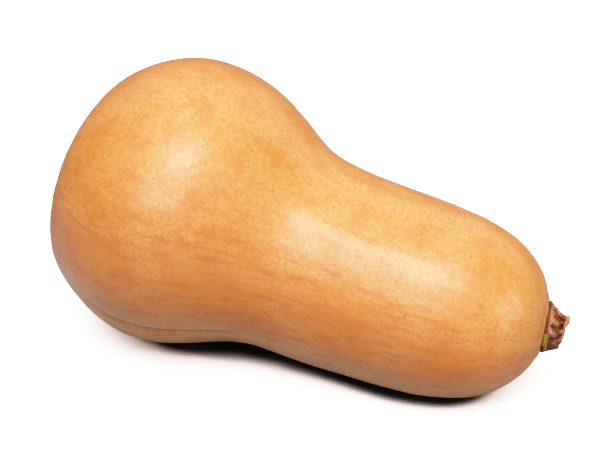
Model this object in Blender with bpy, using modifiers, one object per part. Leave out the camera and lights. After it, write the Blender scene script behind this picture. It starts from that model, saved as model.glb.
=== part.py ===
"""A whole butternut squash, lying on its side.

The fruit is one grown solid: a round seed bulb that draws in at a waist to a thick, nearly
straight neck. The stem is the dry ridged stub of the stalk, seated on the end of the neck.

Frame: metres, +Z up. The squash lies along X with its stem towards +X and its furrowed side
towards -Y. The origin is on the floor, under the middle of the whole squash.
"""

import math

import bmesh
import bpy
from mathutils import Matrix, Vector

# The fruit's axis: its slope down from the thick bulb to the thin neck, and its height at the
# blossom end. The neck end hangs low enough for both bulb and neck to lie on the floor.
AXIS_SLOPE = math.radians(12.4)
AXIS_HEIGHT = 0.0764

# Rings of the fruit from the blossom end to the stem end: the distance along the axis, the
# radius, and how far the ring's centre stands above the axis.
FRUIT_RINGS = (
    (0.0000, 0.0000, -0.0033),
    (0.0008, 0.0120, -0.0033),
    (0.0032, 0.0245, -0.0031),
    (0.0068, 0.0355, -0.0028),
    (0.0107, 0.0450, -0.0024),
    (0.0180, 0.0528, -0.0020),
    (0.0340, 0.0630, 0.0000),
    (0.0530, 0.0673, -0.0002),
    (0.0730, 0.0645, 0.0001),
    (0.0930, 0.0540, 0.0017),
    (0.1080, 0.0460, -0.0016),
    (0.1240, 0.0453, -0.0024),
    (0.1420, 0.0442, -0.0015),
    (0.1610, 0.0433, 0.0003),
    (0.1810, 0.0420, 0.0018),
    (0.2010, 0.0375, 0.0038),
    (0.2150, 0.0295, 0.0035),
    (0.2230, 0.0163, 0.0031),
    (0.2258, 0.0060, 0.0019),
    (0.2262, 0.0000, 0.0019),
)
FRUIT_SIDES = 40

# The bulb's faint ribs. One furrow runs at FURROW_ANGLE about the axis, counted from +Y
# through +Z, and the others stand evenly round from it. They fade out at both ends.
RIBS = 10
FURROW_ANGLE = math.radians(207)
FURROW_DEPTH = 0.0008
FURROW_START = 0.004
FURROW_MIDDLE = 0.045
FURROW_END = 0.110

# The flat seat that the stem stands on. It is cut across the rounded neck end, a little above
# the axis and turned away from the furrowed side.
NECK_END_CENTRE = Vector((0.1882, 0.0, 0.0018))
SEAT_DISTANCE = 0.0370
SEAT_RISE = math.radians(7.5)
SEAT_TURN = math.radians(11)
SEAT_CUTTER_RADIUS = 0.016
SEAT_CUTTER_HEIGHT = 0.010

# Rings of the stem from the middle of its foot to the middle of its broken tip: the height
# over the seat, the radius, and how far the ring's centre leans towards the upper side.
STEM_RINGS = (
    (0.0000, 0.0000, 0.0000),
    (0.0000, 0.0050, 0.0000),
    (0.0000, 0.0100, 0.0000),
    (0.0004, 0.0116, 0.0000),
    (0.0018, 0.0113, 0.0001),
    (0.0040, 0.0098, 0.0004),
    (0.0062, 0.0083, 0.0010),
    (0.0083, 0.0072, 0.0016),
    (0.0096, 0.0060, 0.0020),
    (0.0100, 0.0030, 0.0021),
    (0.0100, 0.0000, 0.0021),
)
STEM_SIDES = 20
STEM_RIDGES = 5
STEM_RIDGE_SHARE = 0.11
STEM_RIDGE_HEIGHT = 0.0040
STEM_GAP = 0.0003

FLOOR_CUTTER_SIZE = 0.5

# Material finishes: colour, roughness and metallic value.
SKIN = ((0.80, 0.40, 0.13, 1.0), 0.38, 0.0)
WOODY_STALK = ((0.20, 0.09, 0.035, 1.0), 0.55, 0.0)


def clear_scene():
    """Remove every object, so that the script starts from an empty scene."""
    for old in list(bpy.data.objects):
        bpy.data.objects.remove(old, do_unlink=True)


def new_collection(name):
    """Add a collection to the scene."""
    collection = bpy.data.collections.new(name)
    bpy.context.scene.collection.children.link(collection)
    return collection


def new_material(name, finish):
    """Make a Principled material from a colour, a roughness and a metallic value."""
    colour, roughness, metallic = finish
    material = bpy.data.materials.new(name)
    material.use_nodes = True
    shader = material.node_tree.nodes["Principled BSDF"]
    shader.inputs["Base Color"].default_value = colour
    shader.inputs["Roughness"].default_value = roughness
    shader.inputs["Metallic"].default_value = metallic
    return material


def add_object(name, bm, collection):
    """Turn a bmesh into a named object in a collection."""
    mesh = bpy.data.meshes.new(name)
    bm.to_mesh(mesh)
    bm.free()
    made = bpy.data.objects.new(name, mesh)
    collection.objects.link(made)
    return made


def ringed_cage(rings, sides, scale_at):
    """Make a closed cage with its poles on +X, from a sphere whose circles of latitude are
    moved onto the rings. scale_at gives the change of radius at a distance and an angle."""
    cage = bmesh.new()
    last = len(rings) - 1
    bmesh.ops.create_uvsphere(cage, u_segments=sides, v_segments=last, radius=1.0)
    # Subdivision draws a regular polygon in to a smaller circle. The cage allows for it.
    outwards = 3.0 / (2.0 + math.cos(2.0 * math.pi / sides))
    for vertex in cage.verts:
        height = max(-1.0, min(1.0, vertex.co.z))
        ring = last - round(math.acos(height) * last / math.pi)
        along, radius, lift = rings[ring]
        angle = math.atan2(vertex.co.y, vertex.co.x)
        radius *= outwards * scale_at(along, angle)
        vertex.co = (along, radius * math.cos(angle), lift + radius * math.sin(angle))
    return cage


def fruit_scale(along, angle):
    """Give the fruit's change of radius where a furrow runs between two ribs."""
    if along < FURROW_MIDDLE:
        strength = (along - FURROW_START) / (FURROW_MIDDLE - FURROW_START)
    else:
        strength = (FURROW_END - along) / (FURROW_END - FURROW_MIDDLE)
    strength = max(0.0, strength)
    in_furrow = (0.5 + 0.5 * math.cos(RIBS * (angle - FURROW_ANGLE))) ** 3
    widest = max(radius for _, radius, _ in FRUIT_RINGS)
    return 1.0 - strength * in_furrow * FURROW_DEPTH / widest


def stem_scale(along, angle):
    """Give the stem's change of radius over its ridges, which fade into the round foot."""
    strength = min(1.0, along / STEM_RIDGE_HEIGHT)
    return 1.0 + strength * STEM_RIDGE_SHARE * math.cos(STEM_RIDGES * angle)


def subdivide(piece, levels):
    """Round a coarse cage off with a Subdivision Surface."""
    rounding = piece.modifiers.new("rounding", "SUBSURF")
    rounding.levels = levels
    rounding.render_levels = levels


def cut(piece, cutter):
    """Cut one object out of another."""
    boolean = piece.modifiers.new("cut_" + cutter.name, "BOOLEAN")
    boolean.operation = "DIFFERENCE"
    boolean.solver = "EXACT"
    boolean.object = cutter


def hide_cutter(cutter):
    """Show a cutter as a wire and keep it out of renders."""
    cutter.display_type = "WIRE"
    cutter.hide_render = True


def make_floor_cutter(collection):
    """Make the block of floor that flattens the bulb and the neck where they lie on it."""
    bm = bmesh.new()
    bmesh.ops.create_cube(bm, size=FLOOR_CUTTER_SIZE)
    bmesh.ops.translate(bm, verts=bm.verts, vec=(0.0, 0.0, -FLOOR_CUTTER_SIZE / 2))
    cutter = add_object("floor_cutter", bm, collection)
    hide_cutter(cutter)
    return cutter


def make_seat_cutter(collection):
    """Make the disc that slices the stem's flat seat. Its underside is at its own z = 0."""
    bm = bmesh.new()
    bmesh.ops.create_cone(
        bm,
        cap_ends=True,
        segments=32,
        radius1=SEAT_CUTTER_RADIUS,
        radius2=SEAT_CUTTER_RADIUS,
        depth=SEAT_CUTTER_HEIGHT,
    )
    bmesh.ops.translate(bm, verts=bm.verts, vec=(0.0, 0.0, SEAT_CUTTER_HEIGHT / 2))
    cutter = add_object("seat_cutter", bm, collection)
    hide_cutter(cutter)
    return cutter


def seat_placement():
    """Give the seat's place on the fruit: +Z out of the seat and +X to the upper side."""
    outward = Vector((1.0, math.tan(SEAT_TURN), math.tan(SEAT_RISE))).normalized()
    sideways = outward.cross(Vector((0.0, 0.0, 1.0))).normalized()
    upward = sideways.cross(outward)
    turn = Matrix((upward, outward.cross(upward), outward)).transposed()
    return Matrix.Translation(NECK_END_CENTRE + SEAT_DISTANCE * outward) @ turn.to_4x4()


def make_fruit(collection):
    """Make the squash body, from the blossom end at its own x = 0."""
    bm = ringed_cage(FRUIT_RINGS, FRUIT_SIDES, fruit_scale)
    fruit = add_object("fruit", bm, collection)
    fruit.data.materials.append(new_material("skin", SKIN))
    fruit.data.shade_smooth()
    subdivide(fruit, 1)
    return fruit


def make_stem(collection):
    """Make the stem, standing on its own z = 0 and leaning towards its own +X."""
    bm = ringed_cage(STEM_RINGS, STEM_SIDES, stem_scale)
    # The cage lies along +X with its lean towards +Z. It is stood up, and leans towards +X.
    stand_up = Matrix(((0.0, 0.0, 1.0), (0.0, -1.0, 0.0), (1.0, 0.0, 0.0))).to_4x4()
    bmesh.ops.transform(bm, matrix=stand_up, verts=bm.verts)
    stem = add_object("stem", bm, collection)
    stem.data.materials.append(new_material("woody_stalk", WOODY_STALK))
    stem.data.shade_smooth()
    subdivide(stem, 1)
    return stem


def centre_on_origin(root, pieces):
    """Move the root so that the middle of the pieces' box stands over the origin."""
    bpy.context.view_layer.update()
    depsgraph = bpy.context.evaluated_depsgraph_get()
    points = []
    for piece in pieces:
        evaluated = piece.evaluated_get(depsgraph)
        points += [evaluated.matrix_world @ vertex.co for vertex in evaluated.data.vertices]
    root.location.x -= (min(p.x for p in points) + max(p.x for p in points)) / 2
    root.location.y -= (min(p.y for p in points) + max(p.y for p in points)) / 2
    bpy.context.view_layer.update()


def main():
    """Build the squash."""
    clear_scene()
    parts = new_collection("butternut_squash")
    cutters = new_collection("cutters")

    root = bpy.data.objects.new("squash_root", None)
    parts.objects.link(root)

    fruit = make_fruit(parts)
    fruit.parent = root
    fruit.location.z = AXIS_HEIGHT
    fruit.rotation_euler.y = AXIS_SLOPE

    seat_cutter = make_seat_cutter(cutters)
    seat_cutter.parent = fruit
    seat_cutter.matrix_local = seat_placement()
    cut(fruit, seat_cutter)
    cut(fruit, make_floor_cutter(cutters))

    stem = make_stem(parts)
    stem.parent = fruit
    stem.matrix_local = seat_placement() @ Matrix.Translation((0.0, 0.0, STEM_GAP))

    centre_on_origin(root, (fruit, stem))


main()
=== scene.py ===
"""Looks for the butternut squash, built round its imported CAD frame.

The skin and the stem are fine meshes. Each starts as rays cast onto its CAD solid from a line
inside it, which keeps the CAD shape and place. The skin is then worked with a deep furrow, ribs,
dimples, a puckered collar and a scar, and the stem with fibres, splits, a sag and a broken tip.
Their colours and gloss come from shader nodes only.

All lengths are in metres, in the CAD frame. Angles about the fruit and the stem count from +Y
through +Z.
"""

import math

import bpy
import numpy as np
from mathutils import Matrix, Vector, noise
from mathutils.bvhtree import BVHTree


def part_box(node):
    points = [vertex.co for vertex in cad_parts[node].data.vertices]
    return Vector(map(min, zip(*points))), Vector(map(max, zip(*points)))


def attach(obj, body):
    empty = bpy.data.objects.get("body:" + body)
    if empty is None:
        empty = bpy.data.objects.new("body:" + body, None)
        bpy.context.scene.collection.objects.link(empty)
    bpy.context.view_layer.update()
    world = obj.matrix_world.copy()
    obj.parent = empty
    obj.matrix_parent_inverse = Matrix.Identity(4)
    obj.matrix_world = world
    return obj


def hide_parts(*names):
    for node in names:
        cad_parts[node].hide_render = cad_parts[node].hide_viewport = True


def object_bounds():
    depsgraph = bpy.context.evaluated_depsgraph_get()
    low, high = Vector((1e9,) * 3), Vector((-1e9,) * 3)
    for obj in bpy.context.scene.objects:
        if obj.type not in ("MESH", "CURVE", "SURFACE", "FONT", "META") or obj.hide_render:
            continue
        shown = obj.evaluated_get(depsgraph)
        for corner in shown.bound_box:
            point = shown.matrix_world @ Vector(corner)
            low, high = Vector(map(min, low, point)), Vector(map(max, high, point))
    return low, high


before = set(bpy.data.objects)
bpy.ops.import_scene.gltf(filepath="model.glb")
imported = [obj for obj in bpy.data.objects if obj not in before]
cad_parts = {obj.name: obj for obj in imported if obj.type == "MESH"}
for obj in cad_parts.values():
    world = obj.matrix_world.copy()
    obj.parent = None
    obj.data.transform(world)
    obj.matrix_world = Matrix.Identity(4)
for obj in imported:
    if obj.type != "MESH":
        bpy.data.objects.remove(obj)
CAD_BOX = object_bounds()
CAD_MIDDLE = (CAD_BOX[0] + CAD_BOX[1]) / 2.0

UP = Vector((0.0, 0.0, 1.0))
MM = 0.001

# The rays: how many leave the line inside a solid at each row, the small turn given to one that
# slips between two faces, and how thick a slice shows where a solid's middle is, as a share of
# the solid's length.
RAYS_ROUND = 180
RAY_NUDGE = Vector((1e-4, 1e-4, 1e-4))
SLICE_SHARE = 0.02

# How many points a run of values is measured at before they are crowded together.
CROWDING_POINTS = 4001

# The line inside the fruit that its rays leave from: where its ends stand along the fruit's box.
BULB_STATION = 0.235
NECK_STATION = 0.80

# The skin's grid of points, from the blossom end to the stem end: its columns and rows, about
# how many ripples round it are kept from the CAD shape, and the blur along it.
SKIN_SIDES = 372
BLOSSOM_ROWS = 84
BODY_ROWS = 110
NECK_ROWS = 68
SKIN_HARMONICS = 20.0
SKIN_BLUR = 3.0 * MM

# The grid is finer beside the deep furrow, within this angle and by this much more, and round
# the stem, about this share of the way round the neck's end.
FINE_ANGLE = math.radians(7)
FINE_EXTRA = 4.0
COLLAR_SHARE = 0.80
COLLAR_WIDTH = 0.09
COLLAR_EXTRA = 2.5

# The skin's lumps, from broad waves through dents to dimples: height, size and noise seed.
SKIN_LUMPS = (
    (0.22 * MM, 30.0 * MM, 3.0),
    (0.10 * MM, 11.0 * MM, 7.0),
    (0.035 * MM, 4.0 * MM, 11.0),
)

# The faint ribs: their height, and their size in radians round the skin.
RIB_HEIGHT = 0.20 * MM
RIB_SIZE = 0.16

# Ribs and streaks are noise drawn out along the fruit, whose whole length counts as this many
# radians round it.
LENGTH_IN_RADIANS = 0.9

# The bulb is drawn in by this much, so that its lumps stay inside the CAD box. Between these
# shares of the fruit's box that ends.
BULB_MARGIN = 0.35 * MM
MARGIN_ENDS = (0.5, 0.8)

# All relief fades out below this height, so that the squash lies flat on the floor.
REST_HEIGHT = 4.0 * MM

# The deep furrow on the bulb: its angle about the fruit at the blossom end and at the waist, the
# shares of the fruit's box where it starts, is full, begins to fade and ends, its depth, and how
# quickly the lobes above and below roll into it.
FURROW_ANGLE_START = math.radians(208)
FURROW_ANGLE_END = math.radians(213)
FURROW_FROM = 0.04
FURROW_FULL = 0.17
FURROW_FADING = 0.30
FURROW_TO = 0.48
FURROW_DEPTH = 2.4 * MM
FURROW_UPPER_WIDTH = 1.6 * MM
FURROW_LOWER_WIDTH = 5.0 * MM

# The painted highlight along the lip above the furrow and the painted shade in its crease: how
# far below the furrow's line each one runs, and its width.
LIP_HIGHLIGHT_OFFSET = -3.0 * MM
LIP_HIGHLIGHT_WIDTH = 1.2 * MM
CREASE_SHADE_OFFSET = 0.5 * MM
CREASE_SHADE_WIDTH = 0.7 * MM

# The skin round the stem, outward from the middle of the stem's seat: a raised lip, a full
# shoulder, and puckers with the distances where they start, are full, begin to fade and end. It
# stops this far behind the seat.
COLLAR_HEIGHT = 0.5 * MM
COLLAR_RADIUS = 12.8 * MM
COLLAR_THICKNESS = 1.5 * MM
SHOULDER_HEIGHT = 0.7 * MM
SHOULDER_RADIUS = 18.5 * MM
SHOULDER_WIDTH = 7.0 * MM
PUCKERS = 9
PUCKER_SWAY = 2.0
PUCKER_DEPTH = 0.25 * MM
PUCKER_SHARPNESS = 3
PUCKER_SPAN = (10.0 * MM, 14.0 * MM, 16.0 * MM, 26.0 * MM)
COLLAR_BACK = 30.0 * MM

# The blossom end, outward from its tip: a pit, the distances between which the corky scar gives
# way to skin, and creases with the distances where they start, are full, begin to fade and end.
PIT_DEPTH = 1.1 * MM
PIT_WIDTH = 4.0 * MM
SCAR_ENDS = (3.5 * MM, 7.5 * MM)
SCAR_CREASES = 10
SCAR_CREASE_DEPTH = 0.5 * MM
SCAR_CREASE_SHARPNESS = 4
SCAR_CREASE_SPAN = (2.0 * MM, 6.0 * MM, 9.0 * MM, 20.0 * MM)

# The middle of the belt of deeper colour along the squash's side, which is painted shade.
FLANK_ANGLE = math.radians(189)

# A face of the CAD stem belongs to its flat foot when its normal points this far towards -X.
FOOT_FACING = -0.9

# The line inside the stem that its rays leave from: how far its ends stand from the foot and
# from the middle of the tip, and where the tip begins, as shares of the stem's height.
STEM_LINE_START = 0.22
STEM_LINE_END = 0.30
STEM_TIP_BEGINS = 0.93

# The stem's grid of points, from its foot to its tip, described as the skin's.
STEM_SIDES = 240
STEM_FOOT_ROWS = 30
STEM_BODY_ROWS = 44
STEM_TIP_ROWS = 34
STEM_HARMONICS = 16.0
STEM_BLUR = 0.5 * MM

# The stem's fibres and splits are noise on a straight tube of this radius. Its length is this
# share of the stem's, which draws them out lengthwise.
STEM_TUBE_RADIUS = 6.0 * MM
STEM_TUBE_LENGTH = 0.35

# How deep the stem's surface is worn, the size of each kind of wear, and the shares of its
# height between which each begins. The shade painted in the crevices is darkest from the last
# depth on.
FIBRE_DEPTH = 0.60 * MM
FIBRE_SIZE = 1.2 * MM
FIBRES_BEGIN = (0.10, 0.45)
SPLIT_DEPTH = 1.1 * MM
SPLIT_SIZE = 3.6 * MM
SPLIT_WIDTH = 0.16
LUMP_DEPTH = 1.3 * MM
LUMP_SIZE = 3.4 * MM
LUMPS_BEGIN = (0.15, 0.40)
BREAK_DEPTH = 0.35 * MM
BREAK_SIZE = 1.5 * MM
BREAK_BEGINS = (0.80, 0.95)
CREVICE_SHADE_DEPTH = 1.6 * MM

# How far the stem's foot sinks into the skin and its middle sags, how much of the sag the tip
# takes back, the shares of its height between which each of these happens, and the turn about
# the stem of the side that sags.
STEM_SINK = 1.3 * MM
SINK_ENDS = (0.0, 0.5)
STEM_SAG = 2.2 * MM
SAG_SPAN = (0.1, 0.7)
SAG_RETURN = 0.55
SAG_RETURN_SPAN = (0.8, 1.0)
STEM_SAG_TURN = math.radians(242)

# The broken tip drops away from one high corner: the corner's turn about the stem and distance
# from the tip's middle, and the drop, with the shares of the stem's height and the distances
# from the corner between which it comes in.
STEM_CORNER_TURN = math.radians(75)
STEM_CORNER_REACH = 3.6 * MM
TIP_DROP = 1.5 * MM
TIP_DROP_SPAN = (0.72, 0.95)
TIP_DROP_REACH = (1.2 * MM, 4.5 * MM)

# The camera stands where the photograph was taken from. Its angles are in degrees, and its lens
# and sensor in millimetres.
CAMERA_AZIMUTH = 22.45
CAMERA_ELEVATION = 30.0
CAMERA_DISTANCE = 0.642
CAMERA_LENS = 86.56
CAMERA_SENSOR = 36.0
CAMERA_AIM = Vector((-7.0, 6.1, -4.7)) * MM
CAMERA_CLIP_START = 0.01
CAMERA_CLIP_END = 50.0

# The lights: name, azimuth and elevation in degrees, as the camera's, size in metres, power in
# watts, whether they light the colours, and whether the gloss shows them.
LIGHTS = (
    ("key", 20.0, 62.0, 0.80, 11.0, True, False),
    ("key_gloss", 26.0, 64.0, 0.58, 7.6, False, True),
    ("key_low", 5.0, 38.0, 1.00, 5.6, True, False),
    ("gloss_low", 6.0, 37.0, 0.70, 5.2, False, True),
    ("fill_left", -25.0, 60.0, 0.95, 7.0, True, False),
    ("fill_right", 40.0, 55.0, 0.95, 5.0, True, False),
    ("top", 200.0, 72.0, 0.95, 3.0, True, True),
    ("side_right", 84.0, 10.0, 0.90, 8.0, True, True),
    ("back_right", 160.0, 35.0, 0.95, 3.0, True, True),
    ("back_left", -125.0, 35.0, 0.95, 1.3, True, True),
    ("back", 205.0, 30.0, 0.95, 3.0, True, False),
)
LIGHT_DISTANCE = 1.3

# The lights are almost white. Those that only the gloss shows are pinker, as the highlights in
# the photograph are.
LIGHT_COLOUR = (1.0, 0.95, 0.96)
GLOSS_COLOUR = (1.0, 0.80, 0.96)

# The surroundings: how bright they are as a light, and how bright the skin's gloss shows them.
WORLD_LIGHT = 0.03
WORLD_GLOSS = 0.20

# The share of light that the floor throws back at the squash: far in front of it, close round
# it, and how much more behind it, with the places along Y between which each change happens.
FAR_BOUNCE = 0.10
NEAR_BOUNCE = 0.19
NEAR_BEGINS = (-0.20, -0.09)
BACK_BOUNCE = 0.35
BACK_BEGINS = (0.05, 0.15)

# How bright the skin's gloss shows the floor in front of the squash and behind it, and the
# places along Y between which one turns into the other.
FRONT_GLOSS = 0.72
BACK_GLOSS = 0.30
GLOSS_CHANGES = (-0.06, 0.04)

# How bright the camera sees the floor in the open and in the shadow painted under the squash,
# the shares of open sky over it that count as those, and how much less sky counts beside the
# neck, where the painted shadow is deeper. That is full at the last share of the way from the
# middle to the stem's end.
FLOOR_SEEN = 2.3
FLOOR_COVERED = 0.06
CLEAR_SKY = 0.25
COVERED_SKY = 0.11
NECK_SHADOW = 0.29
NECK_SHADOW_FULL = 0.5

# The camera sees the far floor glow as white as the surroundings, so that no horizon shows. The
# glow begins and is full at these distances.
GLOW_SPAN = (0.22, 0.80)

# How the open sky is worked out: its rays, and the floor's grid, which is fine round the squash
# and reaches far out.
SKY_RAYS = 192
FLOOR_MARGIN = 15.0 * MM
FLOOR_STEP = 3.0 * MM
FLOOR_REACH = 5.0

# The film: how bright each level of light shows. The shadows are a little deeper than the
# light, the bright end bends softly, and the white level shows as white.
WHITE_LEVEL = 1.9
FILM_CURVE = (
    (0.02, 0.006),
    (0.05, 0.025),
    (0.10, 0.067),
    (0.20, 0.160),
    (0.40, 0.356),
    (0.60, 0.554),
    (0.80, 0.722),
    (1.00, 0.836),
    (1.40, 0.944),
)

# The share of a speck's radius that has its full colour.
SPECK_CORE = 0.4

# Blender's numbers for the curve that works on all three colours, and for the Mix node's
# sockets for colours.
COMBINED_CURVE = 3
MIX_FIRST = 6
MIX_SECOND = 7
MIX_RESULT = 2


# ---------------------------------------------------------------- shapes of values

def ease(values, low, high):
    """Rise smoothly from 0 to 1 between two values."""
    share = np.clip((values - low) / (high - low), 0.0, 1.0)
    return share * share * (3.0 - 2.0 * share)


def plateau(values, start, full, fading, end):
    """Rise smoothly from 0 to 1 between two values, and fall again between two more."""
    return ease(values, start, full) * (1.0 - ease(values, fading, end))


def hump(values, centre, width):
    """Give a smooth hump that is 1 at its centre."""
    return np.exp(-(((values - centre) / width) ** 2))


def folds(phase, sharpness):
    """Give folds that are 1 at each full turn of the phase and 0 halfway between."""
    return (0.5 + 0.5 * np.cos(phase)) ** sharpness


def shares(count):
    """Give evenly spaced shares from 0 up to, but without, 1."""
    return np.arange(count) / count


def even_angles(count):
    """Give evenly spaced angles round a full turn."""
    return np.arange(count) * 2.0 * math.pi / count


def crowded(count, low, high, centre, width, extra):
    """Give values from low up to high that stand closer together near a centre."""
    even = np.linspace(low, high, CROWDING_POINTS)
    crowding = 1.0 + extra * hump(even, centre, width)
    steps = (crowding[1:] + crowding[:-1]) / 2.0
    run = np.concatenate(((0.0,), np.cumsum(steps)))
    return np.interp(shares(count) * run[-1], run, even)


def noise_on(points, size, seed):
    """Give smooth noise from about -1 to 1 on a grid of points, with lumps of one size. Each
    seed reads another part of the noise."""
    shift = Vector((seed, 1.7 * seed, 2.3 * seed))
    values = [noise.noise(Vector(point) / size + shift) for point in points.reshape(-1, 3)]
    return np.array(values).reshape(points.shape[:2])


# ---------------------------------------------------------------- grids of rays

def direction(azimuth, elevation):
    """Give the direction from the object that an azimuth and an elevation in degrees name."""
    turn = math.radians(azimuth)
    rise = math.radians(elevation)
    level = math.cos(rise)
    return Vector((math.sin(turn) * level, -math.cos(turn) * level, math.sin(rise)))


def surface_of(node):
    """Make a tree of a CAD node's faces that rays can be cast onto."""
    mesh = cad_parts[node].data
    points = [vertex.co for vertex in mesh.vertices]
    faces = [list(polygon.vertices) for polygon in mesh.polygons]
    return BVHTree.FromPolygons(points, faces)


def middle_at(node, share):
    """Give the middle of a CAD node's section at a share of its length along X."""
    points = np.array([vertex.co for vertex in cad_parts[node].data.vertices])
    low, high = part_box(node)
    length = high.x - low.x
    station = low.x + share * length
    near = points[abs(points[:, 0] - station) < SLICE_SHARE * length]
    y = (near[:, 1].min() + near[:, 1].max()) / 2.0
    z = (near[:, 2].min() + near[:, 2].max()) / 2.0
    return Vector((station, y, z))


def around(start, end, angles):
    """Give the unit vectors that stand square to a line at angles about it."""
    axis = (end - start).normalized()
    level = UP.cross(axis).normalized()
    raised = axis.cross(level)
    return np.outer(np.cos(angles), level) + np.outer(np.sin(angles), raised)


def capsule_rays(start, end, parts, angles):
    """Give the rays that leave a line: a fan round its start, square rays between, and a fan
    round its end. parts holds the shares from 0 to 1 at which each has its rows. The first and
    last row are poles."""
    axis = np.array((end - start).normalized())
    spokes = around(start, end, angles)
    rows = [(start, share - 1.0) for share in parts[0]]
    rows += [(start.lerp(end, share), 0.0) for share in parts[1]]
    rows += [(end, share) for share in parts[2]]
    origins = np.array([origin for origin, _ in rows])
    leans = np.array([0.5 * math.pi * lean for _, lean in rows])[:, None, None]
    return origins[:, None, :], np.sin(leans) * axis + np.cos(leans) * spokes


def cast(surface, origins, ways):
    """Give how far each ray goes before it meets the surface."""
    distances = np.empty(ways.shape[:2])
    for row, side in np.ndindex(distances.shape):
        start = Vector(origins[row, 0])
        way = Vector(ways[row, side])
        hit = surface.ray_cast(start, way)
        if hit[0] is None:
            hit = surface.ray_cast(start, (way + RAY_NUDGE).normalized())
        distances[row, side] = hit[3]
    return distances


def rounded_rings(distances, angles, finest):
    """Read evenly spaced rings of distances again at other angles. Only their low harmonics
    are kept, up to about the finest, which rounds off the CAD facets."""
    count = distances.shape[1]
    harmonics = np.arange(count // 2 + 1)
    waves = np.fft.rfft(distances, axis=1) / count
    waves[:, 1:] *= 2.0
    waves *= np.exp(-0.5 * (harmonics / finest) ** 2)
    return (waves @ np.exp(1j * np.outer(harmonics, angles))).real


def blurred_rows(distances, origins, ways, length):
    """Blur distances from row to row, over a length on the surface."""
    points = origins + distances[..., None] * ways
    steps = np.linalg.norm(np.diff(points, axis=0), axis=2).mean(axis=1)
    stations = np.concatenate(((0.0,), np.cumsum(steps)))
    weights = np.exp(-0.5 * ((stations[:, None] - stations[None, :]) / length) ** 2)
    weights *= np.gradient(stations)
    return (weights / weights.sum(axis=1, keepdims=True)) @ distances


def level_poles(values):
    """Give each pole of a grid one value."""
    values[0] = values[0].mean()
    values[-1] = values[-1].mean()


def cast_grid(node, start, end, parts, angles, finest, blur):
    """Make a smooth grid of points on a CAD node, with a row for each ring of rays."""
    origins, ways = capsule_rays(start, end, parts, even_angles(RAYS_ROUND))
    distances = cast(surface_of(node), origins, ways)
    distances = blurred_rows(distances, origins, ways, blur)
    distances = rounded_rings(distances, angles, finest)
    level_poles(distances)
    origins, ways = capsule_rays(start, end, parts, angles)
    return origins + distances[..., None] * ways


def grid_normals(points):
    """Give the outward normals of a grid of points. A pole takes the mean of the row beside it,
    because its own points all coincide."""
    lengthwise = np.gradient(points, axis=0)
    sideways = np.roll(points, -1, axis=1) - np.roll(points, 1, axis=1)
    normals = np.cross(sideways, lengthwise)
    lengths = np.linalg.norm(normals, axis=2, keepdims=True)
    normals = normals / np.maximum(lengths, np.finfo(float).tiny)
    normals[0] = normals[1].mean(axis=0)
    normals[-1] = normals[-2].mean(axis=0)
    return normals


# ---------------------------------------------------------------- objects

def add_object(name, data):
    """Put a mesh, a light or a camera into the scene."""
    made = bpy.data.objects.new(name, data)
    bpy.context.scene.collection.objects.link(made)
    return made


def add_values(mesh, name, values):
    """Put a value on each of a mesh's points, for its material to read."""
    layer = mesh.attributes.new(name, "FLOAT", "POINT")
    layer.data.foreach_set("value", values.astype(np.float32))


def grid_object(name, points, attributes):
    """Make a closed mesh from a grid whose first and last rows are poles, with a value from
    each attribute grid on every point."""
    rows, sides = points.shape[:2]
    last = 1 + (rows - 2) * sides
    corners = [points[0, 0]] + list(points[1:-1].reshape(-1, 3)) + [points[-1, 0]]
    faces = []
    for side in range(sides):
        after = (side + 1) % sides
        faces.append((0, 1 + after, 1 + side))
        for row in range(rows - 3):
            here = 1 + row * sides
            faces.append((here + side, here + after, here + sides + after, here + sides + side))
        faces.append((last, last - sides + side, last - sides + after))
    mesh = bpy.data.meshes.new(name)
    mesh.from_pydata([tuple(corner) for corner in corners], [], faces)
    mesh.shade_smooth()
    for label, values in attributes.items():
        flat = np.concatenate((values[0, :1], values[1:-1].ravel(), values[-1, :1]))
        add_values(mesh, label, flat)
    return add_object(name, mesh)


# ---------------------------------------------------------------- the skin's shape

def stem_seat():
    """Give the middle of the CAD stem's flat foot and the direction that it stands in."""
    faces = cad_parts["stem"].data.polygons
    foot = [face for face in faces if face.normal.x < FOOT_FACING]
    total = sum(face.area for face in foot)
    middle = sum((face.center * face.area for face in foot), Vector()) / total
    outward = -sum((face.normal * face.area for face in foot), Vector()).normalized()
    return middle, outward


def skin_angles():
    """Give the angles of the skin's columns, which crowd together beside the deep furrow."""
    furrow = (FURROW_ANGLE_START + FURROW_ANGLE_END) / 2.0
    return crowded(SKIN_SIDES, 0.0, 2.0 * math.pi, furrow, FINE_ANGLE, FINE_EXTRA)


def skin_rows():
    """Give the shares at which the rows round the bulb's end, along the squash and round the
    neck's end stand. The last ones crowd together beside the stem."""
    neck = crowded(NECK_ROWS, 0.0, 1.0, COLLAR_SHARE, COLLAR_WIDTH, COLLAR_EXTRA)
    return shares(BLOSSOM_ROWS), shares(BODY_ROWS), np.append(neck, 1.0)


def share_along(points):
    """Give how far along the CAD fruit's box each point stands, from 0 to 1."""
    low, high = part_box("fruit")
    return (points[..., 0] - low.x) / (high.x - low.x)


def rib_form(points, spin):
    """Give the height of the faint ribs that run along the skin."""
    along = LENGTH_IN_RADIANS * share_along(points)
    places = np.stack((np.cos(spin), np.sin(spin), along), axis=2)
    return RIB_HEIGHT * noise_on(places, RIB_SIZE, seed=15.0)


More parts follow.
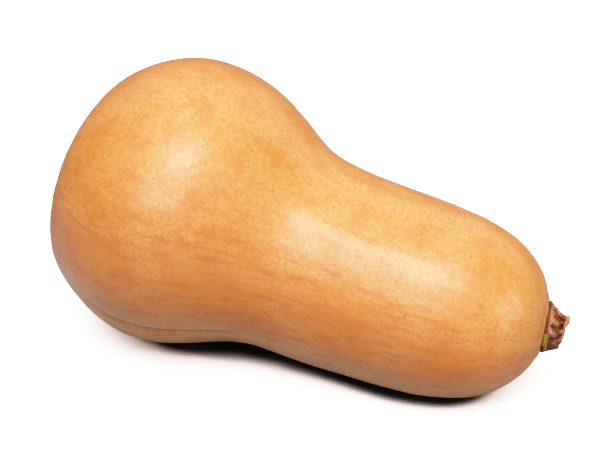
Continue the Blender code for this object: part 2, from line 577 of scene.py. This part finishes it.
def furrow_form(points, angles):
    """Give the depth of the deep furrow on each point, and how near the point is to the upper
    lobe's lip, which carries a painted highlight, and to the crease, which carries painted shade.
    The upper lobe rolls quickly in, and the lower one slowly."""
    along = share_along(points)
    share = np.clip((along - FURROW_FROM) / (FURROW_TO - FURROW_FROM), 0.0, 1.0)
    centre = FURROW_ANGLE_START + share * (FURROW_ANGLE_END - FURROW_ANGLE_START)
    radius = np.linalg.norm(points - points.mean(axis=1, keepdims=True), axis=2)
    below = (angles[None, :] - centre) * radius
    width = np.where(below < 0.0, FURROW_UPPER_WIDTH, FURROW_LOWER_WIDTH)
    across = np.exp(-np.abs(below) / width)
    strength = plateau(along, FURROW_FROM, FURROW_FULL, FURROW_FADING, FURROW_TO)
    lip = strength * hump(below, LIP_HIGHLIGHT_OFFSET, LIP_HIGHLIGHT_WIDTH)
    crease = strength * hump(below, CREASE_SHADE_OFFSET, CREASE_SHADE_WIDTH)
    return FURROW_DEPTH * strength * across, lip, crease


def collar_form(points):
    """Give the height of the full shoulder and the puckered collar round the stem's seat."""
    seat, outward = stem_seat()
    out = points - np.array(seat)
    height = out @ np.array(outward)
    flat = out - height[..., None] * np.array(outward)
    away = np.linalg.norm(flat, axis=2)
    level = UP.cross(outward).normalized()
    turn = np.arctan2(flat @ np.array(outward.cross(level)), flat @ np.array(level))
    lip = COLLAR_HEIGHT * hump(away, COLLAR_RADIUS, COLLAR_THICKNESS)
    phase = PUCKERS * turn + PUCKER_SWAY * np.sin(2.0 * turn)
    pucker = PUCKER_DEPTH * folds(phase, PUCKER_SHARPNESS) * plateau(away, *PUCKER_SPAN)
    shoulder = SHOULDER_HEIGHT * hump(away, SHOULDER_RADIUS, SHOULDER_WIDTH)
    return np.where(height > -COLLAR_BACK, lip - pucker + shoulder, 0.0)


def blossom_form(points):
    """Give the depth of the small corky scar at the blossom end, with its radial creases, and
    how far each point belongs to the scar."""
    out = points - points[0, 0]
    away = np.linalg.norm(out, axis=2)
    turn = np.arctan2(out[..., 2], out[..., 1])
    pit = PIT_DEPTH * hump(away, 0.0, PIT_WIDTH)
    crease = folds(SCAR_CREASES * turn, SCAR_CREASE_SHARPNESS) * plateau(away, *SCAR_CREASE_SPAN)
    return pit + SCAR_CREASE_DEPTH * crease, 1.0 - ease(away, *SCAR_ENDS)


def skin_shape():
    """Give the skin's grid of points, and the values on them that its material reads."""
    start = middle_at("fruit", BULB_STATION)
    end = middle_at("fruit", NECK_STATION)
    angles = skin_angles()
    points = cast_grid("fruit", start, end, skin_rows(), angles, SKIN_HARMONICS, SKIN_BLUR)
    normals = grid_normals(points)
    spin = np.broadcast_to(angles, points.shape[:2])

    furrow, lip, crease = furrow_form(points, angles)
    blossom, scar = blossom_form(points)
    relief = sum(height * noise_on(points, size, seed) for height, size, seed in SKIN_LUMPS)
    relief += rib_form(points, spin) + collar_form(points) - furrow - blossom
    relief -= BULB_MARGIN * (1.0 - ease(share_along(points), *MARGIN_ENDS))
    relief *= ease(points[..., 2], 0.0, REST_HEIGHT)
    level_poles(relief)
    points = points + relief[..., None] * normals
    points[..., 2] = np.maximum(points[..., 2], 0.0)

    attributes = {
        "spin_y": np.cos(spin),
        "spin_z": np.sin(spin),
        "flank": np.cos(spin - FLANK_ANGLE),
        "along": share_along(points),
        # The lip and crease values place the furrow's painted highlight and painted shade.
        "lip": lip,
        "crease": crease,
        "scar": scar,
    }
    return points, attributes


def make_skin():
    """Make the squash's skin in the place of the CAD fruit."""
    skin = grid_object("squash_skin", *skin_shape())
    skin.data.materials.append(skin_material())
    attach(skin, "root")
    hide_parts("fruit")


# ---------------------------------------------------------------- the stem's shape

def stem_wear(points, angles, height, tall):
    """Give how deep the stem's surface is worn in at each point, from its fibres, splits, lumps
    and broken tip."""
    tube = np.stack(
        (
            np.broadcast_to(STEM_TUBE_RADIUS * np.cos(angles), height.shape),
            np.broadcast_to(STEM_TUBE_RADIUS * np.sin(angles), height.shape),
            STEM_TUBE_LENGTH * height * tall,
        ),
        axis=2,
    )
    tip = ease(height, *BREAK_BEGINS)
    fibres = np.abs(noise_on(tube, FIBRE_SIZE, seed=5.0))
    split_lines = np.abs(noise_on(tube, SPLIT_SIZE, seed=9.0))
    splits = np.maximum(0.0, SPLIT_WIDTH - split_lines) / SPLIT_WIDTH
    lumps = 0.5 + 0.5 * noise_on(points, LUMP_SIZE, seed=21.0)
    broken = noise_on(points, BREAK_SIZE, seed=13.0)
    worn = FIBRE_DEPTH * fibres + SPLIT_DEPTH * splits * (1.0 - tip)
    worn *= ease(height, *FIBRES_BEGIN)
    worn += LUMP_DEPTH * lumps * ease(height, *LUMPS_BEGIN) * (1.0 - tip)
    return np.maximum(worn + BREAK_DEPTH * broken * tip, 0.0)


def stem_lean(points, height, outward):
    """Give how far each point of the stem moves: its foot sinks into the skin, its middle sags,
    and its broken tip drops away from one high corner."""
    level = np.array(UP.cross(outward).normalized())
    outward = np.array(outward)
    raised = np.cross(outward, level)
    sagging = math.cos(STEM_SAG_TURN) * level + math.sin(STEM_SAG_TURN) * raised
    high_side = math.cos(STEM_CORNER_TURN) * level + math.sin(STEM_CORNER_TURN) * raised
    sink = STEM_SINK * (1.0 - ease(height, *SINK_ENDS))
    sag = STEM_SAG * ease(height, *SAG_SPAN) * (1.0 - SAG_RETURN * ease(height, *SAG_RETURN_SPAN))
    corner = points[-1, 0] + STEM_CORNER_REACH * high_side
    away = np.linalg.norm(points - corner, axis=2)
    drop = TIP_DROP * ease(height, *TIP_DROP_SPAN) * ease(away, *TIP_DROP_REACH)
    return sag[..., None] * sagging - (sink + drop)[..., None] * outward


def stem_shape():
    """Give the stem's grid of points, and the values on them that its material reads."""
    seat, outward = stem_seat()
    cad = np.array([vertex.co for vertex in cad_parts["stem"].data.vertices])
    heights = (cad - np.array(seat)) @ np.array(outward)
    tall = float(heights.max())
    top = Vector(cad[heights > STEM_TIP_BEGINS * tall].mean(axis=0))
    start = seat + STEM_LINE_START * tall * outward
    end = top - STEM_LINE_END * tall * outward
    angles = even_angles(STEM_SIDES)
    rows = (shares(STEM_FOOT_ROWS), shares(STEM_BODY_ROWS), np.append(shares(STEM_TIP_ROWS), 1.0))
    points = cast_grid("stem", start, end, rows, angles, STEM_HARMONICS, STEM_BLUR)
    normals = grid_normals(points)

    height = ((points - np.array(seat)) @ np.array(outward)) / tall
    worn = stem_wear(points, angles, height, tall)
    level_poles(worn)
    points = points - worn[..., None] * normals + stem_lean(points, height, outward)

    attributes = {
        "height": height,
        # The worn depth sets the shade painted in the crevices.
        "crevice_shade": np.clip(worn / CREVICE_SHADE_DEPTH, 0.0, 1.0),
    }
    return points, attributes


def make_stem():
    """Make the dry ridged stem in the place of the CAD stem."""
    stem = grid_object("squash_stem", *stem_shape())
    stem.data.materials.append(stalk_material())
    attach(stem, "root")
    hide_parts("stem")


# ---------------------------------------------------------------- shader nodes

def new_material(name):
    """Make a node material and give it with its node tree and its shader."""
    material = bpy.data.materials.new(name)
    material.use_nodes = True
    return material, material.node_tree, material.node_tree.nodes["Principled BSDF"]


def set_inputs(tree, node, inputs):
    """Set a node's inputs. Each one is either a value or another node's socket."""
    for socket, value in inputs.items():
        if isinstance(value, bpy.types.NodeSocket):
            tree.links.new(value, node.inputs[socket])
        else:
            node.inputs[socket].default_value = value


def add_node(tree, kind, inputs, **settings):
    """Add a node with its inputs and settings."""
    node = tree.nodes.new(kind)
    for name, value in settings.items():
        setattr(node, name, value)
    set_inputs(tree, node, inputs)
    return node


def calculate(tree, operation, first, second):
    """Work out one number from two."""
    node = add_node(tree, "ShaderNodeMath", {0: first, 1: second}, operation=operation)
    return node.outputs[0]


def multiply(tree, first, second):
    """Multiply two numbers."""
    return calculate(tree, "MULTIPLY", first, second)


def spread(tree, value, low, high, start=0.0, end=1.0):
    """Turn the values from low to high into a smooth run from start to end."""
    inputs = {
        "Value": value,
        "From Min": low,
        "From Max": high,
        "To Min": start,
        "To Max": end,
    }
    node = add_node(tree, "ShaderNodeMapRange", inputs, interpolation_type="SMOOTHSTEP")
    return node.outputs["Result"]


def blend(tree, share, lower, upper):
    """Lay a share of an upper colour over a lower one."""
    inputs = {0: share, MIX_FIRST: lower, MIX_SECOND: upper}
    return add_node(tree, "ShaderNodeMix", inputs, data_type="RGBA").outputs[MIX_RESULT]


def lay_over(tree, lower, upper, value, none, full, share=1.0):
    """Lay an upper colour over a lower one: none of it at one value, its full share at another."""
    return blend(tree, spread(tree, value, none, full, end=share), lower, upper)


def grain(tree, place, size, detail=2.0, roughness=0.5):
    """Give noise whose lumps have about that size."""
    inputs = {"Vector": place, "Scale": 1.0 / size, "Detail": detail, "Roughness": roughness}
    return add_node(tree, "ShaderNodeTexNoise", inputs).outputs["Fac"]


def object_place(tree):
    """Give the place on the object, in metres."""
    return add_node(tree, "ShaderNodeTexCoord", {}).outputs["Object"]


def mesh_value(tree, name):
    """Give a value that the mesh carries on its points."""
    return add_node(tree, "ShaderNodeAttribute", {}, attribute_name=name).outputs["Fac"]


def distance_to(tree, place, point):
    """Give the distance from the place to a fixed point."""
    inputs = {0: place, 1: tuple(point)}
    node = add_node(tree, "ShaderNodeVectorMath", inputs, operation="DISTANCE")
    return node.outputs["Value"]


def specks(tree, place, spacing, radius, share):
    """Give small round specks with soft edges. Each stands in its own cell, and a share of the
    cells has one."""
    inputs = {"Vector": place, "Scale": 1.0 / spacing}
    cells = add_node(tree, "ShaderNodeTexVoronoi", inputs)
    away = cells.outputs["Distance"]
    dot = spread(tree, away, radius / spacing, SPECK_CORE * radius / spacing)
    pick = add_node(tree, "ShaderNodeSeparateColor", {"Color": cells.outputs["Color"]})
    chosen = calculate(tree, "LESS_THAN", pick.outputs["Red"], share)
    return multiply(tree, dot, chosen)


def by_ray(tree, seen, glossy, other):
    """Give one number where the camera looks, one where gloss does, and one to other light."""
    path = add_node(tree, "ShaderNodeLightPath", {})
    inputs = {"Value": path.outputs["Is Glossy Ray"], "To Min": other, "To Max": glossy}
    unseen = add_node(tree, "ShaderNodeMapRange", inputs).outputs["Result"]
    inputs = {"Value": path.outputs["Is Camera Ray"], "To Min": unseen, "To Max": seen}
    return add_node(tree, "ShaderNodeMapRange", inputs).outputs["Result"]


# ---------------------------------------------------------------- the skin's material

SKIN_BASE = (0.775, 0.343, 0.090, 1.0)
SKIN_PALE = (0.790, 0.410, 0.155, 1.0)
SKIN_ORANGE = (0.680, 0.232, 0.032, 1.0)
SKIN_BROWN = (0.450, 0.132, 0.026, 1.0)
SKIN_SPECK = (0.130, 0.050, 0.018, 1.0)
SKIN_GOLD = (0.640, 0.330, 0.060, 1.0)
# A ruddy orange, painted as shade along the squash's side.
SKIN_RUDDY_SHADE = (0.600, 0.160, 0.016, 1.0)
# Pale cream for the highlight painted along the furrow's lip, also the tint of the skin's sheen.
SKIN_LIP_HIGHLIGHT_AND_SHEEN = (1.000, 0.680, 0.440, 1.0)
SKIN_DOT = (0.330, 0.100, 0.022, 1.0)
SCAR_CORK = (0.230, 0.130, 0.060, 1.0)

# Where the orange of the waist is deepest, as shares of the fruit's box.
WAIST_PLACE = (0.43, 0.15, 0.45)

# The scale that the small folds in the skin's bump are read at, which draws them out along X.
FOLD_SCALE = (0.35, 1.0, 1.0)


def lengthwise_place(tree):
    """Give a place, in radians, that runs round the fruit quickly and along it slowly."""
    inputs = {
        "X": mesh_value(tree, "spin_y"),
        "Y": mesh_value(tree, "spin_z"),
        "Z": multiply(tree, mesh_value(tree, "along"), LENGTH_IN_RADIANS),
    }
    return add_node(tree, "ShaderNodeCombineXYZ", inputs).outputs["Vector"]


def skin_ground(tree, place, broad):
    """Mix the colour that the others lie on: pale and orange patches on the base."""
    colour = lay_over(tree, SKIN_BASE, SKIN_PALE, broad, none=0.35, full=0.70, share=0.45)
    patches = grain(tree, place, size=11.0 * MM, detail=4.0, roughness=0.6)
    return lay_over(tree, colour, SKIN_ORANGE, patches, none=0.46, full=0.68, share=0.60)


def with_painted_shade_belt(tree, colour, broad):
    """Add the uneven ruddy belt along the squash's side, which is painted shade."""
    side = spread(tree, mesh_value(tree, "flank"), 0.90, 0.99)
    uneven = spread(tree, broad, 0.3, 0.7, start=0.7, end=0.3)
    return blend(tree, multiply(tree, side, uneven), colour, SKIN_RUDDY_SHADE)


def with_waist(tree, colour, place):
    """Add the deeper orange in the hollow where the bulb meets the neck."""
    low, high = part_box("fruit")
    waist = low + Vector([share * side for share, side in zip(WAIST_PLACE, high - low)])
    away = distance_to(tree, place, waist)
    return lay_over(tree, colour, SKIN_ORANGE, away, none=34.0 * MM, full=6.0 * MM, share=0.55)


def with_streaks(tree, colour):
    """Add brown streaks along the squash, which are stronger low on its side."""
    lines = grain(tree, lengthwise_place(tree), size=0.055, detail=3.0, roughness=0.65)
    low_side = spread(tree, mesh_value(tree, "flank"), 0.55, 0.95, start=0.18, end=0.62)
    streaks = multiply(tree, spread(tree, lines, 0.44, 0.74), low_side)
    return blend(tree, streaks, colour, SKIN_BROWN)


def with_mottle(tree, colour, place):
    """Add the fine orange mottle, and the finer brown one."""
    mottle = grain(tree, place, size=1.6 * MM, detail=3.0, roughness=0.65)
    colour = lay_over(tree, colour, SKIN_ORANGE, mottle, none=0.40, full=0.70, share=0.70)
    finer = grain(tree, place, size=1.0 * MM, detail=1.0)
    return lay_over(tree, colour, SKIN_BROWN, finer, none=0.56, full=0.74, share=0.48)


def with_collar(tree, colour, place):
    """Add gold patches on the neck's end, and a brown edge round the stem's foot."""
    seat, _ = stem_seat()
    away = distance_to(tree, place, seat)
    near_stem = spread(tree, away, 48.0 * MM, 26.0 * MM)
    patches = spread(tree, grain(tree, place, size=7.0 * MM), 0.46, 0.60, end=0.45)
    colour = blend(tree, multiply(tree, near_stem, patches), colour, SKIN_GOLD)
    return lay_over(tree, colour, SKIN_BROWN, away, none=15.0 * MM, full=12.0 * MM, share=0.3)


def with_furrow_highlight_and_shade(tree, colour):
    """Add the deep furrow's painted highlight along its lip and painted shade in its crease."""
    colour = blend(tree, multiply(tree, mesh_value(tree, "lip"), 0.38), colour, SKIN_LIP_HIGHLIGHT_AND_SHEEN)
    return blend(tree, multiply(tree, mesh_value(tree, "crease"), 0.8), colour, SKIN_BROWN)


def with_specks(tree, colour, place):
    """Add a few dark specks, and more brown ones that stand in crowds."""
    few = specks(tree, place, spacing=4.4 * MM, radius=0.50 * MM, share=0.22)
    colour = blend(tree, multiply(tree, few, 0.75), colour, SKIN_SPECK)
    many = specks(tree, place, spacing=2.2 * MM, radius=0.50 * MM, share=0.36)
    crowds = grain(tree, place, size=22.0 * MM, detail=1.0)
    crowds = spread(tree, crowds, 0.42, 0.60, start=0.15, end=0.75)
    return blend(tree, multiply(tree, many, crowds), colour, SKIN_DOT)


def skin_colour(tree, place):
    """Mix the skin's colour, from its broad patches down to its specks and scar."""
    broad = grain(tree, place, size=34.0 * MM, detail=1.0)
    colour = skin_ground(tree, place, broad)
    colour = with_painted_shade_belt(tree, colour, broad)
    colour = with_waist(tree, colour, place)
    colour = with_streaks(tree, colour)
    colour = with_mottle(tree, colour, place)
    colour = with_collar(tree, colour, place)
    colour = with_furrow_highlight_and_shade(tree, colour)
    colour = with_specks(tree, colour, place)
    return blend(tree, multiply(tree, mesh_value(tree, "scar"), 0.85), colour, SCAR_CORK)


def skin_bump(tree, place, strength):
    """Give the skin's fine grains and small folds as a normal."""
    grains = grain(tree, place, size=1.1 * MM)
    inputs = {0: place, 1: FOLD_SCALE}
    drawn_out = add_node(tree, "ShaderNodeVectorMath", inputs, operation="MULTIPLY")
    small_folds = grain(tree, drawn_out.outputs["Vector"], size=1.5 * MM)
    height = calculate(tree, "ADD", multiply(tree, small_folds, 1.5), grains)
    inputs = {"Strength": strength, "Distance": 0.10 * MM, "Height": height}
    return add_node(tree, "ShaderNodeBump", inputs).outputs["Normal"]


def skin_material():
    """Make the waxy skin. Its clear coat is more wrinkled on the bulb than on the neck."""
    material, tree, shader = new_material("squash_skin")
    place = object_place(tree)
    dullness = grain(tree, place, size=2.2 * MM, detail=3.0)
    wrinkled = spread(tree, mesh_value(tree, "along"), 0.30, 0.48, start=0.95, end=0.40)
    inputs = {
        "Base Color": skin_colour(tree, place),
        "Roughness": spread(tree, dullness, 0.3, 0.7, start=0.46, end=0.60),
        "Normal": skin_bump(tree, place, strength=0.4),
        "Coat Normal": skin_bump(tree, place, strength=wrinkled),
        "IOR": 1.55,
        "Coat Weight": 0.65,
        "Coat Roughness": 0.16,
        "Sheen Weight": 0.04,
        "Sheen Roughness": 0.35,
        "Sheen Tint": SKIN_LIP_HIGHLIGHT_AND_SHEEN,
    }
    set_inputs(tree, shader, inputs)
    return material


# ---------------------------------------------------------------- the stalk's material

STALK_TAN = (0.580, 0.260, 0.105, 1.0)
STALK_BROWN = (0.270, 0.085, 0.022, 1.0)
# Dark red for the stalk's foot, and for the shade painted in its crevices.
STALK_RED_AND_CREVICE_SHADE = (0.130, 0.026, 0.007, 1.0)
STALK_GREY = (0.150, 0.115, 0.095, 1.0)
STALK_OLIVE = (0.430, 0.290, 0.030, 1.0)
# Pinkish tan for the highlights painted on the stalk's ridges.
STALK_RIDGE_HIGHLIGHT = (0.720, 0.370, 0.220, 1.0)
STALK_BREAK = (0.520, 0.300, 0.150, 1.0)

# The olive patch's place: how far it stands out of the stem's seat, and how far to one side.
OLIVE_HEIGHT = 1.5 * MM
OLIVE_SIDE = Vector((0.0, -11.5, 0.5)) * MM


def with_ridge_highlights(tree, colour, place, height):
    """Add painted pinkish highlights on the ridges round the stalk's middle."""
    ridge_highlights = spread(tree, grain(tree, place, size=4.0 * MM), 0.42, 0.54, end=0.85)
    above_foot = multiply(tree, spread(tree, height, 0.16, 0.30), ridge_highlights)
    middle = multiply(tree, spread(tree, height, 0.62, 0.48), above_foot)
    return blend(tree, middle, colour, STALK_RIDGE_HIGHLIGHT)


def with_olive(tree, colour, place):
    """Add the olive patch on one side of the stalk's foot."""
    seat, outward = stem_seat()
    away = distance_to(tree, place, seat + OLIVE_HEIGHT * outward + OLIVE_SIDE)
    return lay_over(tree, colour, STALK_OLIVE, away, none=4.2 * MM, full=2.2 * MM, share=0.9)


def stalk_colour(tree, place, patches):
    """Mix the stalk's colour: tan and brown patches, grey weathering, painted highlights on its
    ridges, a red foot, painted shade in its crevices, an olive patch, and a pale break at the tip."""
    height = mesh_value(tree, "height")
    weathering = grain(tree, place, size=2.4 * MM)
    colour = lay_over(tree, STALK_TAN, STALK_BROWN, patches, none=0.40, full=0.60)
    colour = lay_over(tree, colour, STALK_GREY, weathering, none=0.56, full=0.68, share=0.7)
    colour = with_ridge_highlights(tree, colour, place, height)
    colour = lay_over(tree, colour, STALK_RED_AND_CREVICE_SHADE, height, none=0.26, full=0.12, share=0.9)
    # Painted shade: the crevices darken with their depth.
    crevice_shade = mesh_value(tree, "crevice_shade")
    colour = lay_over(tree, colour, STALK_RED_AND_CREVICE_SHADE, crevice_shade, none=0.25, full=0.75, share=0.95)
    colour = with_olive(tree, colour, place)
    return lay_over(tree, colour, STALK_BREAK, height, none=0.82, full=0.95, share=0.8)


def stalk_material():
    """Make the dry, knobbly, woody stalk."""
    material, tree, shader = new_material("squash_stalk")
    place = object_place(tree)
    patches = grain(tree, place, size=3.0 * MM, detail=3.0)
    knobs = grain(tree, place, size=1.2 * MM, detail=3.0)
    inputs = {"Strength": 1.0, "Distance": 0.9 * MM, "Height": knobs}
    bump = add_node(tree, "ShaderNodeBump", inputs).outputs["Normal"]
    inputs = {
        "Base Color": stalk_colour(tree, place, patches),
        "Roughness": spread(tree, patches, 0.35, 0.65, start=0.16, end=0.32),
        "Normal": bump,
        "IOR": 1.50,
    }
    set_inputs(tree, shader, inputs)
    return material


# ---------------------------------------------------------------- floor, lights and camera

def floor_stations(low, high):
    """Give the floor's grid lines: close together round the squash, and one far out each way."""
    close = np.arange(low - FLOOR_MARGIN, high + FLOOR_MARGIN, FLOOR_STEP)
    return np.concatenate(((-FLOOR_REACH,), close, (FLOOR_REACH,)))


def sky_ways():
    """Give directions spread over the sky, closer together overhead, where more light counts."""
    golden = math.pi * (3.0 - math.sqrt(5.0))
    ways = []
    for index in range(SKY_RAYS):
        share = (index + 0.5) / SKY_RAYS
        level = math.sqrt(share)
        turn = index * golden
        rise = math.sqrt(1.0 - share)
        ways.append(Vector((level * math.cos(turn), level * math.sin(turn), rise)))
    return ways


def open_sky(across, deep):
    """Give the share of the sky that each point of the floor's grid sees past the squash, a
    little smoothed from point to point."""
    squash = surface_of("fruit")
    ways = sky_ways()
    sky = np.ones((len(deep), len(across)))
    for row, column in np.ndindex(sky.shape):
        point = Vector((across[column], deep[row], 0.0))
        blocked = sum(squash.ray_cast(point, way)[0] is not None for way in ways)
        sky[row, column] -= blocked / SKY_RAYS
    sky[1:-1, 1:-1] = (sky[:-2, 1:-1] + sky[2:, 1:-1] + 2.0 * sky[1:-1, 1:-1]) / 4.0
    sky[1:-1, 1:-1] = (sky[1:-1, :-2] + sky[1:-1, 2:] + 2.0 * sky[1:-1, 1:-1]) / 4.0
    return sky


def painted_floor_shadow(across, deep):
    """Give the shadow painted on each point of the floor's grid: 1 where the squash hides the sky,
    and 0 where it stands clear."""
    beside_neck = ease(across, 0.0, NECK_SHADOW_FULL * CAD_BOX[1].x)
    sky = open_sky(across, deep) * (1.0 - NECK_SHADOW * beside_neck)
    return 1.0 - ease(sky, COVERED_SKY, CLEAR_SKY)


def make_floor():
    """Make the white floor, whose points carry the shadow painted under the squash."""
    low, high = CAD_BOX
    across = floor_stations(low.x, high.x)
    deep = floor_stations(low.y, high.y)
    points = [(x, y, 0.0) for y in deep for x in across]
    faces = []
    for row in range(len(deep) - 1):
        for column in range(len(across) - 1):
            here = row * len(across) + column
            above = here + len(across)
            faces.append((here, here + 1, above + 1, above))
    mesh = bpy.data.meshes.new("floor")
    mesh.from_pydata(points, [], faces)
    add_values(mesh, "painted_shadow", painted_floor_shadow(across, deep).ravel())
    mesh.materials.append(floor_material())
    floor = add_object("floor", mesh)


def floor_material():
    """Make the plain white floor's material. The camera sees it white but for the shadow painted
    under the squash, as a photograph exposed for a white ground shows it. The squash's gloss sees
    it less bright. The light that it throws back is weak far in front of the squash, as from a
    sheet in a dark room, and strongest behind it."""
    material, tree, shader = new_material("white_floor")
    place = object_place(tree)
    depth = add_node(tree, "ShaderNodeSeparateXYZ", {"Vector": place}).outputs["Y"]
    front = spread(tree, depth, *NEAR_BEGINS, start=FAR_BOUNCE, end=NEAR_BOUNCE)
    behind = spread(tree, depth, *BACK_BEGINS, end=BACK_BOUNCE)
    thrown = calculate(tree, "ADD", front, behind)
    painted_shadow = mesh_value(tree, "painted_shadow")
    seen = spread(tree, painted_shadow, 0.0, 1.0, start=FLOOR_SEEN, end=FLOOR_COVERED)
    glossy = spread(tree, depth, *GLOSS_CHANGES, start=FRONT_GLOSS, end=BACK_GLOSS)
    away = distance_to(tree, place, (0.0, 0.0, 0.0))
    glow = spread(tree, away, *GLOW_SPAN, end=WHITE_LEVEL)
    inputs = {
        "Base Color": by_ray(tree, seen, glossy, thrown),
        "Roughness": 0.9,
        "Specular IOR Level": 0.0,
        "Emission Color": (1.0, 1.0, 1.0, 1.0),
        "Emission Strength": by_ray(tree, glow, 0.0, 0.0),
    }
    set_inputs(tree, shader, inputs)
    return material


def make_world():
    """Make the surroundings: nearly dark as a light, and white where the camera sees them."""
    world = bpy.data.worlds.new("studio")
    bpy.context.scene.world = world
    world.use_nodes = True
    tree = world.node_tree
    inputs = {
        "Color": (1.0, 1.0, 1.0, 1.0),
        "Strength": by_ray(tree, WHITE_LEVEL, WORLD_GLOSS, WORLD_LIGHT),
    }
    set_inputs(tree, tree.nodes["Background"], inputs)


def add_light(name, azimuth, elevation, size, power, diffuse, glossy):
    """Add a large soft light that points at the squash."""
    lamp = bpy.data.lights.new(name, "AREA")
    lamp.size = size
    lamp.energy = power
    lamp.color = LIGHT_COLOUR if diffuse else GLOSS_COLOUR
    light = add_object(name, lamp)
    towards = direction(azimuth, elevation)
    light.location = CAD_MIDDLE + LIGHT_DISTANCE * towards
    light.rotation_mode = "QUATERNION"
    light.rotation_quaternion = towards.to_track_quat("Z", "Y")
    light.visible_diffuse = diffuse
    light.visible_glossy = glossy


def make_lights():
    """Light the squash from high in front, with weaker lights over and behind it."""
    for light in LIGHTS:
        add_light(*light)


def set_film():
    """Give the picture a film's soft shoulder, so that bright skin keeps its colour."""
    settings = bpy.context.scene.view_settings
    settings.view_transform = "Standard"
    settings.use_curve_mapping = True
    mapping = settings.curve_mapping
    mapping.white_level = (WHITE_LEVEL, WHITE_LEVEL, WHITE_LEVEL)
    curve = mapping.curves[COMBINED_CURVE]
    for light, shown in FILM_CURVE:
        curve.points.new(light / WHITE_LEVEL, shown)
    curve.points[0].handle_type = "VECTOR"
    curve.points[1].handle_type = "VECTOR"
    mapping.update()


def make_camera():
    """Set the camera up at the photograph's viewing angle."""
    back = direction(CAMERA_AZIMUTH, CAMERA_ELEVATION)
    lens = bpy.data.cameras.new("camera")
    lens.lens = CAMERA_LENS
    lens.sensor_width = CAMERA_SENSOR
    lens.clip_start = CAMERA_CLIP_START
    lens.clip_end = CAMERA_CLIP_END
    camera = add_object("camera", lens)
    camera.location = CAD_MIDDLE + CAMERA_AIM + CAMERA_DISTANCE * back
    camera.rotation_mode = "QUATERNION"
    camera.rotation_quaternion = back.to_track_quat("Z", "Y")
    bpy.context.scene.camera = camera


make_skin()
make_stem()
make_floor()
make_world()
make_lights()
make_camera()
set_film()
